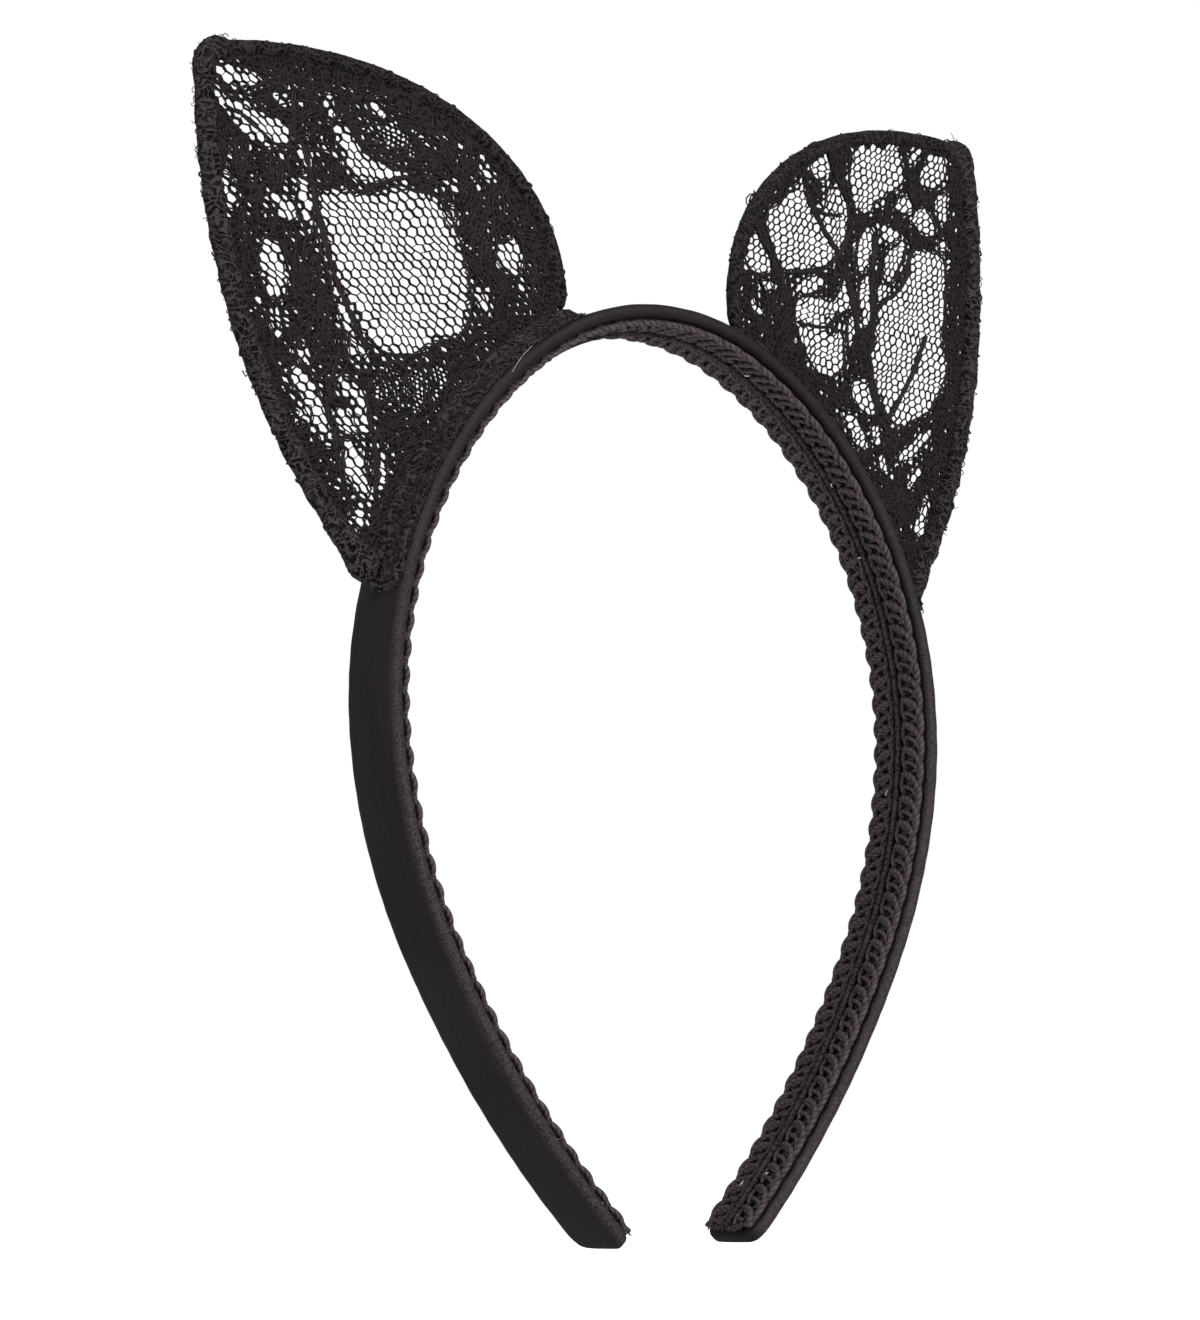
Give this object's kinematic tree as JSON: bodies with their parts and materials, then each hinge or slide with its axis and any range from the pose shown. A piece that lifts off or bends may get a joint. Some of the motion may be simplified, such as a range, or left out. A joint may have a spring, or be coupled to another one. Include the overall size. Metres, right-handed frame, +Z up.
{
  "type": "animal ears headband",
  "caption": "Springy headband covered in black satin, lined with scalloped gimp braid, with wired floral lace cat ears that bend forward and back",
  "frame": {"origin": "middle of the inside of the crown, where the braid rests on the top of a head", "axes": "+X is the side of the right ear as seen in front view, -Y is the front edge of the band, +Z is up from the head"},
  "size_m": [0.1532, 0.0166, 0.1882],
  "materials": {
    "satin": "black satin ribbon, soft sheen",
    "gimp": "black looped gimp braid, matt",
    "hoop_core": "black flexible plastic",
    "ear_wire": "dark annealed wire",
    "ear_lace": "black floral lace on a net ground",
    "ear_binding": "black rolled lace, fuzzy edge",
    "glue": "hardened hot-melt glue"
  },
  "bodies": {
    "crown": {"crown_core": "hoop_core", "crown_cover": "satin", "crown_gimp": "gimp", "left_ear_root": "ear_lace", "left_ear_foot_inner": "ear_wire", "left_ear_foot_outer": "ear_wire", "left_ear_glue": "glue", "right_ear_root": "ear_lace", "right_ear_foot_inner": "ear_wire", "right_ear_foot_outer": "ear_wire", "right_ear_glue": "glue"},
    "left_arm": {"left_arm_core": "hoop_core", "left_arm_cover": "satin", "left_arm_gimp": "gimp"},
    "right_arm": {"right_arm_core": "hoop_core", "right_arm_cover": "satin", "right_arm_gimp": "gimp"},
    "left_ear": {"left_ear_wire": "ear_wire", "left_ear_binding_inner": "ear_binding", "left_ear_binding_outer": "ear_binding", "left_ear_panel": "ear_lace"},
    "right_ear": {"right_ear_wire": "ear_wire", "right_ear_binding_inner": "ear_binding", "right_ear_binding_outer": "ear_binding", "right_ear_panel": "ear_lace"}
  },
  "joints": [
    {"name": "left_arm_spread", "type": "hinge", "parent": "crown", "child": "left_arm", "pos_m": [-0.05108, 0, -0.04771], "axis": [0, 1, 0], "range_deg": [0, 15], "stiffness_Nm_per_rad": 1.2},
    {"name": "right_arm_spread", "type": "hinge", "parent": "crown", "child": "right_arm", "pos_m": [0.05108, 0, -0.04771], "axis": [0, -1, 0], "range_deg": [0, 15], "stiffness_Nm_per_rad": 1.2},
    {"name": "left_ear_bend", "type": "hinge", "parent": "crown", "child": "left_ear", "pos_m": [-0.03938, 0, -0.01613], "axis": [0.6606, -0.0481, 0.7492], "range_deg": [-40, 40]},
    {"name": "right_ear_bend", "type": "hinge", "parent": "crown", "child": "right_ear", "pos_m": [0.03938, 0, -0.01613], "axis": [0.6606, 0.0481, -0.7492], "range_deg": [-40, 40]}
  ]
}
